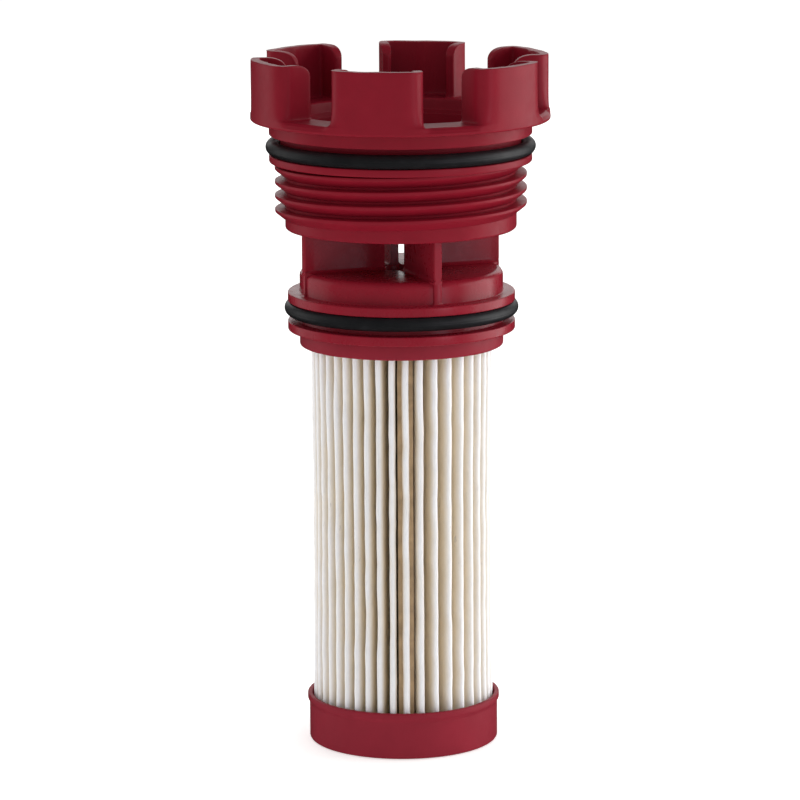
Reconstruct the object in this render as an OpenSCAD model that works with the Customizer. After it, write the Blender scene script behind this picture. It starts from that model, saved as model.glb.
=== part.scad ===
// Cartridge fuel filter: a threaded cap with a castellated wrench crown, an
// outlet cage between two O-ring glands, and a pleated paper element below it.
// The part stands on its bottom end cap, with +Z up along the filter's axis.

/* [Upper seal] */
// Diameter of the neck and of the land on each side of the upper O-ring
seal_d = 55.8; // [46:0.2:70]
// Height of the neck between the crown and the upper O-ring groove
neck_h = 3.0; // [2:0.1:6]
// Thickness of the land between the upper groove and the thread
land_t = 1.6; // [1.2:0.1:4]

/* [Crown] */
// How far the crown stands out past the neck, on the radius
crown_overhang = 3.9; // [3:0.1:8]
// Thickness of the crown's ring under the slots
crown_ring_t = 1.8; // [1.2:0.1:4]
// Height of the lugs above the ring
lug_h = 11.5; // [7:0.5:20]
// Number of lugs round the crown
lug_count = 6; // [3:1:8]
// Angle that each lug spans
lug_angle = 35.8; // [28:0.1:44]
// Thickness of a lug's walls
lug_wall = 2.0; // [1.4:0.1:2.6]
// Length of a lug's side walls towards the middle
lug_depth = 8.1; // [6:0.1:8.6]
// Radius of the upright outer corners of a lug
lug_corner_r = 2.0; // [1:0.1:2.6]
// Radius of the inner top corners of a lug's side walls
lug_top_r = 3.0; // [1:0.1:4]

/* [Well] */
// How far the well's mouth is set in from the lugs' inner ends, on the radius
well_inset = 0.9; // [0.5:0.05:2]
// Height of the sloping face at the well's mouth
well_slope_h = 2.3; // [1:0.1:4]
// How far that face leans in
well_slope_w = 0.55; // [0.3:0.05:0.9]
// Height of the small step under the sloping face
well_step_h = 0.9; // [0.5:0.1:2]
// Width of each of the step's two ledges
well_step_w = 0.25; // [0.2:0.05:0.6]
// Thickness of the web that closes the well
web_t = 2.3; // [1.5:0.1:4]

/* [Thread] */
// Step from the neck's radius down to the thread's crest
thread_step = 1.15; // [0.6:0.05:2]
// Pitch of the single-start right-hand thread
thread_pitch = 3.0; // [2.5:0.1:4]
// Depth of the thread
thread_depth = 2.15; // [1.2:0.05:2.6]
// Length of the threaded skirt below the land
thread_len = 14.3; // [12:0.1:22]
// Width of the thread's crest
crest_w = 0.3; // [0.2:0.05:0.5]
// Height of the thread's steep upper side
steep_h = 0.25; // [0.15:0.05:0.4]
// Height from the skirt's lower edge up to the foot of the thread
thread_foot = 0.9; // [0.5:0.1:3]
// How far the thread's last turn runs up into the land
thread_head = 0.9; // [0.5:0.1:1]

/* [O-rings] */
// Thickness of the O-ring cord
cord_d = 3.0; // [2.2:0.05:3.7]
// How far each O-ring stands proud of its lands
ring_proud = 0.72; // [0.4:0.01:1.2]
// Width of each O-ring groove beyond the cord
groove_play = 1.2; // [0.3:0.05:1.8]

/* [Outlet cage] */
// Step from the thread's root in to the lower gland's two flanges, on the radius
gland_step = 0.4; // [0.2:0.05:2]
// Thickness of each flange of the lower gland
flange_t = 1.95; // [1.4:0.05:4]
// Height of the boss between the gland and the windows
boss_h = 4.8; // [3:0.1:10]
// Radius round the boss's top edge
boss_round_r = 1.4; // [0.4:0.1:2.4]
// Height of the four outlet windows
window_h = 8.7; // [6:0.1:16]
// Thickness of the four vanes
vane_t = 1.8; // [1.2:0.1:3]
// Step from the skirt's bore in to the vanes' outer edges
vane_inset = 0.5; // [0.3:0.05:1]
// How far each vane stands proud of the boss as a rib
vane_rib = 0.45; // [0.2:0.05:1]
// Bore of the outlet port up the middle
port_d = 8.0; // [5:0.2:10]
// Thickness of the cage's top plate, welded inside the cap's skirt
plate_t = 2.1; // [1.4:0.1:3.5]
// Wall of the cap's skirt outside that plate
skirt_wall = 1.95; // [1.4:0.05:2.4]
// Moulded wall inside the hollow gland
gland_wall = 2.1; // [1.5:0.1:3]
// Extra wall round the port inside the gland, which the top end cap seats on
port_shoulder = 1.0; // [0.6:0.1:2]
// Length of the spigot below the gland
spigot_len = 6.0; // [4:0.1:10]
// Wall of the spigot
spigot_wall = 1.6; // [1:0.1:2.4]

/* [Filter element] */
// Height of the element, from its base to the underside of the gland
element_h = 89.8; // [50:0.2:160]
// Number of pleats
pleat_count = 43; // [30:1:51]
// Thickness of the paper
paper_t = 0.5; // [0.3:0.05:0.6]
// Width of a pleat's folded tip
tip_w = 1.5; // [1.3:0.05:1.7]
// Gap between pleats at their inner folds
fold_gap = 0.15; // [0.1:0.01:0.2]
// Gap between the core tube and the inner folds
core_gap = 0.8; // [0.4:0.1:2]
// Number of the pleat gap that holds the paper's adhesive seam
seam_index = 29; // [0:1:29]
// Depth of the seam
seam_depth = 3.2; // [1:0.1:5]
// Gap from the pleats' tips in to the seam
seam_inset = 0.8; // [0.4:0.1:2]

/* [End caps] */
// Height of the top end cap below the gland
top_cap_h = 3.4; // [2.6:0.1:8]
// Step from the gland's flanges in to the top end cap, on the radius
collar_step = 2.5; // [1:0.1:4]
// Wall round the top end cap
top_cap_wall = 2.0; // [1:0.1:2.4]
// Height of the bottom end cap
bottom_cap_h = 10.0; // [6:0.1:16]
// Wall of the bottom end cap at its rim
bottom_cap_wall = 1.0; // [0.8:0.05:2]
// Height of the bottom end cap's thicker rim
rim_h = 2.0; // [1.6:0.1:3]
// How far that rim stands out
rim_step = 0.4; // [0.1:0.05:0.4]
// Height of the slope under that rim
rim_slope = 0.8; // [0.4:0.1:1]
// Floor or roof thickness of both end caps
cap_floor_t = 1.4; // [1:0.1:3]
// Thickness of the adhesive that bonds the paper into each end cap
potting_t = 1.4; // [0.8:0.1:2]
// Gap between the pleat tips and the end caps
tip_gap = 0.3; // [0.2:0.05:0.6]

/* [Core tube] */
// Play between the cage's spigot and the core tube, on the radius
core_play = 1.8; // [0.4:0.1:2.4]
// Wall of the core tube
core_wall = 1.1; // [0.8:0.1:1.6]
// Height of one opening in the core tube
core_slot_h = 5.0; // [3:0.5:9]
// Height of one band between openings
core_band_h = 3.0; // [2:0.5:6]
// Width of one opening in the core tube
core_slot_w = 7.2; // [4:0.2:8.4]

/* [Hidden] */
$fn = 96;
weld_gap = 0.05;
seat_gap = 0.05;
edge_r = 0.4;
rib_r = 0.5;
arc_steps = 6;
cut = 1;

// Heights up the axis
groove_w = cord_d + groove_play;
gland_z0 = element_h;
lower_groove_z0 = gland_z0 + flange_t;
lower_groove_z1 = lower_groove_z0 + groove_w;
boss_z0 = lower_groove_z1 + flange_t;
boss_z1 = boss_z0 + boss_h;
skirt_z0 = boss_z1 + window_h;
plate_z0 = skirt_z0 + edge_r;
plate_z1 = plate_z0 + plate_t;
web_z0 = plate_z1 + weld_gap;
well_z0 = web_z0 + web_t;
land_z0 = skirt_z0 + thread_len;
upper_groove_z0 = land_z0 + land_t;
upper_groove_z1 = upper_groove_z0 + groove_w;
crown_z0 = upper_groove_z1 + neck_h;
slot_z = crown_z0 + crown_ring_t;
top_z = slot_z + lug_h;

// Radii of the cap
neck_r = seal_d / 2;
crown_r = neck_r + crown_overhang;
thread_r = neck_r - thread_step;
root_r = thread_r - thread_depth;
socket_r = root_r - skirt_wall;
upper_ring_r = neck_r + ring_proud - cord_d / 2;
upper_floor_r = upper_ring_r - cord_d / 2 - seat_gap;
lug_inner_r = crown_r - lug_depth;
well_top_r = lug_inner_r - well_inset;
well_slope_r = well_top_r - well_slope_w;
well_ledge_r = well_slope_r - well_step_w;
well_r = well_ledge_r - well_step_w;
well_slope_z = slot_z - well_slope_h;
well_step_z = well_slope_z - well_step_h;
lug_step = 360 / lug_count;
lug_half = lug_angle / 2;

// Radii of the cage
plate_r = socket_r - weld_gap;
vane_r = plate_r - vane_inset;
boss_r = vane_r - vane_rib;
port_r = port_d / 2;
spigot_r = port_r + spigot_wall;
lower_neck_r = root_r - gland_step;
lower_ring_r = lower_neck_r + ring_proud - cord_d / 2;
lower_floor_r = lower_ring_r - cord_d / 2 - seat_gap;

// The element: the gland sets the paper's outside, and the port sets its inside
top_cap_r = lower_neck_r - collar_step;
cup_r = top_cap_r - top_cap_wall;
bottom_cap_r = cup_r + bottom_cap_wall;
media_r = cup_r - tip_gap;
core_bore_r = spigot_r + core_play;
core_r = core_bore_r + core_wall;
fold_r = core_r + core_gap;
valley_r = fold_r + paper_t;
pleat_step = 360 / pleat_count;
media_z0 = cap_floor_t + potting_t;
media_z1 = element_h - cap_floor_t - potting_t;
media_h = media_z1 - media_z0;
core_pitch = core_slot_h + core_band_h;
core_slots = floor((media_h - 2 * core_band_h) / core_pitch);

// Points along an arc, from angle a0 to angle a1
function arc(cx, cy, r, a0, a1) =
    [for (i = [0:arc_steps]) let (a = a0 + (a1 - a0) * i / arc_steps) [cx + r * cos(a), cy + r * sin(a)]];

// A point at radius r and angle a
function polar(r, a) = [r * cos(a), r * sin(a)];

// Flat wedge of the circle between two angles, out to radius r
module wedge(r, a0, a1) {
    polygon([[0, 0], polar(r, a0), polar(r, (a0 + a1) / 2), polar(r, a1)]);
}

// ---- Threaded cap ----

// Turned shape of the cap, before its slots are cut and its thread is added
module cap_body() {
    rotate_extrude() polygon(concat(
        [[0, web_z0], [socket_r, web_z0], [socket_r, skirt_z0]],
        arc(root_r - edge_r, skirt_z0 + edge_r, edge_r, -90, 0),
        [[root_r, land_z0], [neck_r - edge_r, land_z0]],
        [[neck_r, land_z0 + edge_r], [neck_r, upper_groove_z0], [upper_floor_r, upper_groove_z0]],
        [[upper_floor_r, upper_groove_z1], [neck_r, upper_groove_z1], [neck_r, crown_z0]],
        arc(crown_r - edge_r, crown_z0 + edge_r, edge_r, -90, 0),
        [[crown_r, top_z], [0, top_z]]
    ));
}

// What is cut out of the middle of the cap: a sloping mouth, a small step and the deep well
module well_cut() {
    rotate_extrude() polygon([
        [0, well_z0], [well_r, well_z0], [well_r, well_step_z],
        [well_ledge_r, well_step_z], [well_ledge_r, well_slope_z],
        [well_slope_r, well_slope_z], [well_top_r, slot_z - edge_r],
        [well_top_r + edge_r, slot_z], [well_top_r + edge_r, slot_z + cut], [0, slot_z + cut]
    ]);
}

// The thread starts at the skirt's lower end and climbs a pitch a turn
thread_gap = 0.1;
thread_sink = 0.3;
thread_tail = 0.1;
thread_sides = 72;
thread_fade = 40;
thread_start = 70;
flank_h = thread_pitch - steep_h - crest_w - thread_gap;
thread_z0 = skirt_z0 + thread_foot + flank_h + crest_w;
thread_turns = (land_z0 + thread_head - thread_z0) / thread_pitch;

// Share of its full depth that the thread has at an angle from its start
function ridge_lift(turn) = min(1, turn / thread_fade, (360 * thread_turns - turn) / thread_fade);

// The ridge's four corners at an angle from its start
function ridge_ring(turn) =
    let (
        base = root_r - thread_sink,
        crest = base + thread_tail + (thread_depth + thread_sink - thread_tail) * ridge_lift(turn),
        z = thread_z0 + thread_pitch * turn / 360,
        a = thread_start + turn
    )
    [
        [base * cos(a), base * sin(a), z + steep_h],
        [crest * cos(a), crest * sin(a), z],
        [crest * cos(a), crest * sin(a), z - crest_w],
        [base * cos(a), base * sin(a), z - crest_w - flank_h]
    ];

// The thread's helical ridge, steep above and at a slant below
module thread_ridge() {
    steps = floor(thread_turns * thread_sides);
    rings = [for (i = [0:steps]) ridge_ring(i * 360 * thread_turns / steps)];
    sides = [
        for (i = [0:steps - 1], j = [0:3])
        let (a = i * 4, b = (i + 1) * 4, k = (j + 1) % 4)
        each [[a + j, b + j, b + k], [a + j, b + k, a + k]]
    ];
    last = steps * 4;
    polyhedron(
        points = [for (ring = rings) each ring],
        faces = concat(sides, [[3, 2, 1, 0]], [[last, last + 1, last + 2, last + 3]])
    );
}

// One side of a slot, as drawn from its middle: straight out along the lug's side, then round its corner
function slot_side() =
    let (
        centre_r = crown_r - lug_corner_r,
        turn_a = asin(lug_corner_r / centre_r),
        x = centre_r * cos(turn_a),
        corner = arc(x, lug_corner_r, lug_corner_r, -90, turn_a),
        run = corner[arc_steps] - corner[arc_steps - 1]
    )
    concat([[0, 0]], [for (i = [0:arc_steps - 1]) corner[i]], [corner[arc_steps] + cut / norm(run) * run]);

// Slot between two lugs, centred on the X axis
module slot_shape() {
    gap_a = lug_step / 2 - lug_half;
    side = [for (p = slot_side()) [p[0] * cos(gap_a) - p[1] * sin(gap_a), p[0] * sin(gap_a) + p[1] * cos(gap_a)]];
    last = len(side) - 1;
    polygon(concat(side, [[2 * crown_r, 0]], [for (i = [0:last - 1]) [side[last - i][0], -side[last - i][1]]]));
}

// Hollow of one lug, open to the middle, with a slim upright rib in its outer wall
module pocket_shape() {
    apex = lug_wall / sin(lug_half);
    pocket_r = crown_r - lug_wall;
    difference() {
        intersection() {
            circle(pocket_r);
            translate([apex, 0]) wedge(2 * crown_r, -lug_half, lug_half);
        }
        translate([pocket_r, 0]) circle(rib_r);
    }
}

// What is cut down to the crown's ring: the middle, the slots and the lugs' hollows
module crown_cut() {
    translate([0, 0, slot_z]) linear_extrude(lug_h + cut) union() {
        circle(lug_inner_r);
        for (i = [0:lug_count - 1]) rotate(i * lug_step) {
            rotate(lug_step / 2) slot_shape();
            pocket_shape();
        }
    }
}

// What rounds off the inner top corner of a lug's side wall
module top_cut() {
    round = arc(lug_top_r, 0, lug_top_r, 180, 90);
    first = round[0] - cut * [0, 1];
    last = round[arc_steps] + cut * [1, 0];
    translate([lug_inner_r, 2 * lug_wall, top_z - lug_top_r]) rotate([90, 0, 0]) linear_extrude(3 * lug_wall)
        polygon(concat([first - cut * [1, 0], first], round, [last, last + cut * [0, 1], [-cut, lug_top_r + cut]]));
}

module threaded_cap() {
    color("#8C1C2A") union() {
        difference() {
            cap_body();
            well_cut();
            crown_cut();
            for (i = [0:lug_count - 1]) rotate(i * lug_step) {
                rotate(-lug_half) top_cut();
                rotate(lug_half) mirror([0, 1, 0]) top_cut();
            }
        }
        thread_ridge();
    }
}

// ---- O-rings ----

module o_ring(r, z) {
    color("#1C1D20") translate([0, 0, z]) rotate_extrude() translate([r, 0]) circle(cord_d / 2);
}

// The upper ring lies on the land below it
module upper_o_ring() {
    o_ring(upper_ring_r, upper_groove_z0 + cord_d / 2 + seat_gap);
}

// The lower ring sits up against the flange above it
module lower_o_ring() {
    o_ring(lower_ring_r, lower_groove_z1 - cord_d / 2 - seat_gap);
}

// ---- Outlet cage ----

// Turned lower half of the cage: spigot, gland, boss, and the hollow under the boss
module cage_gland() {
    hollow_r0 = spigot_r + port_shoulder;
    hollow_r1 = lower_floor_r - gland_wall;
    hollow_z1 = boss_z1 - gland_wall;
    rotate_extrude() polygon(concat(
        [[port_r, gland_z0 - spigot_len], [spigot_r, gland_z0 - spigot_len], [spigot_r, gland_z0]],
        [[hollow_r0, gland_z0], [hollow_r0, hollow_z1], [hollow_r1, hollow_z1], [hollow_r1, gland_z0]],
        [[lower_neck_r, gland_z0], [lower_neck_r, lower_groove_z0], [lower_floor_r, lower_groove_z0]],
        [[lower_floor_r, lower_groove_z1], [lower_neck_r, lower_groove_z1], [lower_neck_r, boss_z0]],
        [[boss_r, boss_z0]],
        arc(boss_r - boss_round_r, boss_z1 - boss_round_r, boss_round_r, 0, 90),
        [[port_r, boss_z1]]
    ));
}

// One vane, from the port's edge out past the boss, down to the gland's flange
module vane() {
    translate([port_r, -vane_t / 2, boss_z1 - cut]) cube([vane_r - port_r, vane_t, plate_z0 - boss_z1 + 2 * cut]);
    rib_x = boss_r - boss_round_r - cut;
    translate([rib_x, -vane_t / 2, boss_z0 - cut]) cube([vane_r - rib_x, vane_t, boss_h + 2 * cut]);
}

module outlet_cage() {
    color("#7E1A28") union() {
        cage_gland();
        translate([0, 0, plate_z0]) cylinder(r = plate_r, h = plate_t);
        for (i = [0:3]) rotate(i * 90) vane();
    }
}

// ---- End caps and adhesive ----

module top_end_cap() {
    roof_z = element_h - cap_floor_t;
    rim_z = element_h - top_cap_h;
    color("#7A2430") rotate_extrude() polygon(concat(
        [[spigot_r + seat_gap, element_h], [spigot_r + seat_gap, roof_z], [cup_r, roof_z], [cup_r, rim_z]],
        arc(top_cap_r - edge_r, rim_z + edge_r, edge_r, -90, 0),
        [[top_cap_r, element_h]]
    ));
}

module top_potting() {
    color("#8A6A45") translate([0, 0, media_z1]) difference() {
        cylinder(r = cup_r, h = potting_t);
        translate([0, 0, -cut]) cylinder(r = spigot_r + seat_gap, h = potting_t + 2 * cut);
    }
}

module bottom_end_cap() {
    side_r = bottom_cap_r - rim_step;
    rim_z = bottom_cap_h - rim_h;
    color("#7A2430") rotate_extrude() polygon(concat(
        [[0, 0]],
        arc(side_r - edge_r, edge_r, edge_r, -90, 0),
        [[side_r, rim_z], [bottom_cap_r, rim_z + rim_slope]],
        arc(bottom_cap_r - edge_r, bottom_cap_h - edge_r, edge_r, 0, 90),
        [[cup_r, bottom_cap_h], [cup_r, cap_floor_t], [0, cap_floor_t]]
    ));
}

module bottom_potting() {
    color("#8A6A45") translate([0, 0, cap_floor_t]) cylinder(r = cup_r, h = potting_t);
}

// ---- Paper and core ----

// Angle that a width w spans at radius r
function span(w, r) = 2 * asin(w / 2 / r);

// Outline of the folded sheet: w_out wide at the tips, leaving gaps w_in wide at the inner folds
function pleat_outline(r_out, w_out, r_in, w_in) = [
    for (i = [0:pleat_count - 1])
    let (a = i * pleat_step, t = span(w_out, r_out) / 2, v = (pleat_step - span(w_in, r_in)) / 2)
    each [polar(r_in, a - v), polar(r_out, a - t), polar(r_out, a + t), polar(r_in, a + v)]
];

// Room between two pleats at radius r
function pleat_room(r) =
    let (tip_room = 2 * PI * media_r / pleat_count - tip_w)
    fold_gap + (tip_room - fold_gap) * (r - valley_r) / (media_r - valley_r);

module pleated_media() {
    hollow_w = 2 * PI * valley_r / pleat_count - fold_gap - 2 * paper_t;
    hollow_gap = 2 * PI * fold_r / pleat_count - hollow_w;
    color("#D8D3CC") translate([0, 0, media_z0]) linear_extrude(media_h) difference() {
        polygon(pleat_outline(media_r, tip_w, valley_r, fold_gap));
        polygon(pleat_outline(media_r - paper_t, tip_w - 2 * paper_t, fold_r, hollow_gap));
    }
}

// Strip of adhesive that closes the paper into a tube, in the gap between two pleats
module media_seam() {
    outer_r = media_r - seam_inset;
    inner_r = outer_r - seam_depth;
    outer_w = pleat_room(outer_r) / 2 - weld_gap;
    inner_w = pleat_room(inner_r) / 2 - weld_gap;
    color("#8A6A45") translate([0, 0, media_z0]) linear_extrude(media_h) rotate((seam_index + 0.5) * pleat_step)
        polygon([[inner_r, -inner_w], [outer_r, -outer_w], [outer_r, outer_w], [inner_r, inner_w]]);
}

module core_tube() {
    first_z = media_z0 + (media_h - core_slots * core_pitch + core_band_h) / 2;
    color("#2B2B2D") difference() {
        translate([0, 0, media_z0]) cylinder(r = core_r, h = media_h);
        translate([0, 0, media_z0 - cut]) cylinder(r = core_bore_r, h = media_h + 2 * cut);
        for (i = [0:core_slots - 1], turn = [0, 90])
            translate([0, 0, first_z + i * core_pitch]) rotate(turn) translate([-2 * core_r, -core_slot_w / 2, 0])
                cube([4 * core_r, core_slot_w, core_slot_h]);
    }
}

threaded_cap();
upper_o_ring();
outlet_cage();
lower_o_ring();
top_end_cap();
top_potting();
pleated_media();
media_seam();
core_tube();
bottom_potting();
bottom_end_cap();
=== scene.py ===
import math

import bmesh
import bpy
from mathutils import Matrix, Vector


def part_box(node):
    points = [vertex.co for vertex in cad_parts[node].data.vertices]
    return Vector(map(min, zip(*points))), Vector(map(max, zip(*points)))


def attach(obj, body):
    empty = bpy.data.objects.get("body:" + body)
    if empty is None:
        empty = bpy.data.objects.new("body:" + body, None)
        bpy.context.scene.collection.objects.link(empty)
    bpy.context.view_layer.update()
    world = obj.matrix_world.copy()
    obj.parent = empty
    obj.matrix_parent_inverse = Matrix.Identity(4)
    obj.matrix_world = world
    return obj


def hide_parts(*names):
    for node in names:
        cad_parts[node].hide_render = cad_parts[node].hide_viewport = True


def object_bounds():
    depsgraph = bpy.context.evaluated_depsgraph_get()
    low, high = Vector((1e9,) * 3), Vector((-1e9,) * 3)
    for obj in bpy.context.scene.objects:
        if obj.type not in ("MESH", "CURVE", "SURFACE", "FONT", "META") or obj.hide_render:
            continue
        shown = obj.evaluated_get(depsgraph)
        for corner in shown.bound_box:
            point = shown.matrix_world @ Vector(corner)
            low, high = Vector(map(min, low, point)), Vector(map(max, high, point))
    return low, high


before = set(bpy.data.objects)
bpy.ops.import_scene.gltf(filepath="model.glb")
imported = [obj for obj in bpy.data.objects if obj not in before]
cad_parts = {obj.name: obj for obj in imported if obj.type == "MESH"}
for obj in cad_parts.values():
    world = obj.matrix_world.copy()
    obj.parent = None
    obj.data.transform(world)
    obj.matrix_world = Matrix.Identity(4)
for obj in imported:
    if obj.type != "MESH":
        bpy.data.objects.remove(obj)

bl_info = {
    "name": "Fuel filter cartridge",
    "version": (1, 0, 0),
    "blender": (4, 5, 0),
    "location": "3D View > Sidebar > Fuel filter",
    "description": "Models a screw-in fuel filter cartridge piece by piece, with its finishes and its stage",
    "category": "Object",
}

# The CAD box of the whole filter, and the boxes that the pieces take their places from
CAD_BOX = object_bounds()
CAP_LOW, CAP_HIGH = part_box("threaded_cap")
CAGE_LOW, CAGE_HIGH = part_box("outlet_cage")
PAPER_LOW, PAPER_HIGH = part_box("pleated_media")
TOP_END_LOW, TOP_END_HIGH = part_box("top_end_cap")
BASE_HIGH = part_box("bottom_end_cap")[1]
UPPER_RING_LOW, UPPER_RING_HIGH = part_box("upper_o_ring")
LOWER_RING_LOW, LOWER_RING_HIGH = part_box("lower_o_ring")

MM = 0.001

# Sizes in millimetres and angles in degrees that more than one step uses
TURN_STEPS = 192        # faces round a turned piece
LUGS = 6
RING_VERTICES = 120
FLANK = 19.0            # from the middle of a lug to its flank
BORE_R = 22.38          # where the crown's bevelled bore meets the well
BORE_DROP = 1.7         # how far that lies under the crown's floor
GROOVE_W = 4.2          # height of both O-ring grooves
CORD_GAP = 0.05         # between an O-ring and the groove's side that it lies against
PLATE_T = 2.1           # thickness of the cage's top plate
VANE_R = CAGE_HIGH.x / MM - 2.1    # the vanes' outer edges
THREAD_START = 70
SIDES = 12              # vertices round one pleat
PAPER_ROWS = 30
FRONT = 249.7           # direction from the axis to the camera
SEAM_AT = 2.0           # the glued pleat, from the front
SEAM_GAP = 3.6          # from there to the adhesive on either side


# ---------------------------------------------------------------- sizes and colours

def linear(hex_colour):
    """An sRGB hex colour as linear red, green and blue."""
    parts = [int(hex_colour[i:i + 2], 16) / 255 for i in (1, 3, 5)]
    return tuple(c / 12.92 if c <= 0.04045 else ((c + 0.055) / 1.055) ** 2.4 for c in parts)


def length(name, text, millimetres):
    return bpy.props.FloatProperty(
        name=name, description=text, default=millimetres * MM, unit="LENGTH", precision=5)


def colour(name, text, hex_colour):
    return bpy.props.FloatVectorProperty(
        name=name, description=text, default=linear(hex_colour), subtype="COLOR", size=3, min=0, max=1)


class FilterSizes(bpy.types.PropertyGroup):
    crown_r: length("Crown radius", "Radius over the outside of the crown's lugs", CAP_HIGH.x / MM)
    lug_h: length("Lug height", "Height of the lugs above the crown's ring", 11.5)
    lug_wall: length("Lug wall", "Thickness of a lug's walls", 2.0)
    lug_inner_r: length("Lug inner radius", "Radius at the inner ends of a lug's side walls", 23.7)
    ring_t: length("Ring thickness", "Thickness of the crown's ring under the slots", 1.8)
    neck_r: length("Neck radius", "Radius of the neck and of the land under the upper O-ring", 27.9)
    groove_r: length("Groove floor radius", "Radius of the upper groove's floor", 25.57)
    root_r: length("Thread root radius", "Radius of the skirt at the thread's root", 24.6)
    crest_r: length("Thread crest radius", "Radius over the thread's crest", 26.75)
    pitch: length("Thread pitch", "Height that the thread climbs in one turn", 3.0)
    well_r: length("Well radius", "Radius of the deep well in the cap", 21.7)
    boss_r: length("Boss radius", "Radius of the boss between the gland and the windows", 21.65)
    flange_r: length("Flange radius", "Radius of the lower gland's flanges", 24.2)
    vane_t: length("Vane thickness", "Thickness of the four vanes", 1.8)
    port_r: length("Port radius", "Radius of the outlet port", 4.0)
    cord_d: length("O-ring cord", "Thickness of the O-ring cord", 3.0)
    paper_t: length("Paper thickness", "Thickness of the pleated paper", 0.5)
    fold_r: length("Inner fold radius", "Radius at the inner folds of the pleats", 9.8)
    pleats: bpy.props.IntProperty(
        name="Pleats", description="Number of pleats round the element", default=43, min=12)


class FilterColours(bpy.types.PropertyGroup):
    cap: colour("Cap", "Crimson nylon of the threaded cap", "#841425")
    cage: colour("Outlet cage", "Crimson nylon of the outlet cage", "#8A1929")
    end_caps: colour("End caps", "Duller crimson nylon of the element's end caps", "#8B1F2F")
    o_rings: colour("O-rings", "Black nitrile rubber", "#1C1D20")
    paper_tip: colour("Paper, outer folds", "Off-white of the paper at the outer folds", "#FBF9FB")
    # Painted shade: the tan given deep between the pleats darkens the off-white paper where the folds shade
    # one another
    paper_fold_shade: colour("Paper, inner folds", "Tan of the resin-rich paper deep between the pleats", "#F3E2C6")
    adhesive: colour("Adhesive", "Amber-brown adhesive", "#B79C78")
    core: colour("Core", "Black nylon of the core tube", "#2B2B2D")
    floor: colour("Floor", "Pale studio floor", "#F2F2F0")


def sizes():
    """The sizes in millimetres, by name."""
    group = bpy.context.scene.filter_sizes
    return {k: getattr(group, k) / (MM if k != "pleats" else 1) for k in FilterSizes.__annotations__}


def colours():
    return bpy.context.scene.filter_colours


# ---------------------------------------------------------------- modelling by hand
# Each piece is modelled with one unit to the millimetre and brought down to metres at the end.

def put_down():
    """Leaves edit mode with nothing selected."""
    if bpy.context.mode != "OBJECT":
        bpy.ops.object.mode_set(mode="OBJECT")
    bpy.ops.object.select_all(action="DESELECT")


def choose(piece, *others):
    """Selects one piece, or it and others, with the first one active."""
    put_down()
    for each in (piece, *others):
        each.select_set(True)
    bpy.context.view_layer.objects.active = piece


def take_up(piece):
    """Selects one piece alone and opens it in edit mode."""
    choose(piece)
    bpy.ops.object.mode_set(mode="EDIT")


def open_new(name):
    """Names the primitive just added, opens it in edit mode and selects all of it."""
    piece = bpy.context.object
    piece.name = piece.data.name = name
    bpy.ops.object.mode_set(mode="EDIT")
    bpy.ops.mesh.select_all(action="SELECT")
    return piece


def pick(kind, test):
    """Selects the vertices, edges or faces that pass the test, and nothing else."""
    bpy.ops.mesh.select_mode(type=kind)
    bpy.ops.mesh.select_all(action="DESELECT")
    mesh = bpy.context.object.data
    work = bmesh.from_edit_mesh(mesh)
    items = {"VERT": work.verts, "EDGE": work.edges, "FACE": work.faces}[kind]
    found = [item for item in items if test(item)]
    if not found:
        raise RuntimeError(f"{bpy.context.object.name}: found nothing to select")
    for item in found:
        item.select_set(True)
    bmesh.update_edit_mesh(mesh, loop_triangles=False, destructive=False)


def radius_of(point):
    return math.hypot(point.x, point.y)


def angle_of(point):
    return math.degrees(math.atan2(point.y, point.x))


def near(value, target, play=0.02):
    return abs(value - target) < play


def move(x=0.0, y=0.0, z=0.0):
    bpy.ops.transform.translate(value=(x, y, z))


def grow(factor):
    """Scales what is selected out from the filter's axis."""
    bpy.ops.transform.resize(value=(factor, factor, 1), center_override=(0, 0, 0))


def swing(degrees):
    """Turns what is selected about the filter's axis, anticlockwise as seen from above."""
    bpy.ops.transform.rotate(value=-math.radians(degrees), orient_axis="Z", center_override=(0, 0, 0))


def draw_out(x=0.0, y=0.0, z=0.0):
    """Extrudes what is selected."""
    bpy.ops.mesh.extrude_region_move(TRANSFORM_OT_translate={"value": (x, y, z)})


def climb(rings):
    """Extrudes the selected ring from each (radius, height) to the next, and closes it on the axis."""
    for (r0, z0), (r1, z1) in zip(rings, rings[1:]):
        draw_out(z=z1 - z0)
        if r1 < 0.001:
            bpy.ops.mesh.merge(type="CENTER")
        else:
            grow(r1 / r0)


def rounded(corners, steps=4):
    """Turns (radius, height, rounding) corners into (radius, height) points, each corner on its own arc."""
    points = []
    for i, corner in enumerate(corners):
        here = Vector(corner[:2])
        if len(corner) < 3 or not corner[2] or i in (0, len(corners) - 1):
            points.append(tuple(here))
            continue
        back = (Vector(corners[i - 1][:2]) - here).normalized()
        on = (Vector(corners[i + 1][:2]) - here).normalized()
        half = back.angle(on) / 2
        start = here + back * corner[2] / math.tan(half)
        end = here + on * corner[2] / math.tan(half)
        centre = here + (back + on).normalized() * corner[2] / math.sin(half)
        for k in range(steps + 1):
            arm = (start - centre).lerp(end - centre, k / steps).normalized() * corner[2]
            points.append(tuple(centre + arm))
    return points


def start_chain(name, x, y, z):
    """A new piece in edit mode, holding one vertex."""
    put_down()
    bpy.ops.mesh.primitive_plane_add(size=1, location=(0, 0, 0))
    piece = open_new(name)
    bpy.ops.mesh.select_mode(type="VERT")
    bpy.ops.mesh.select_all(action="SELECT")
    bpy.ops.mesh.merge(type="CENTER")
    move(x, y, z)
    return piece


def draw_outline(name, outline):
    """A new piece in edit mode, holding an outline of (radius, height) points as a chain of edges."""
    piece = start_chain(name, outline[0][0], 0, outline[0][1])
    for a, b in zip(outline, outline[1:]):
        draw_out(x=b[0] - a[0], z=b[1] - a[1])
    return piece


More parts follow.
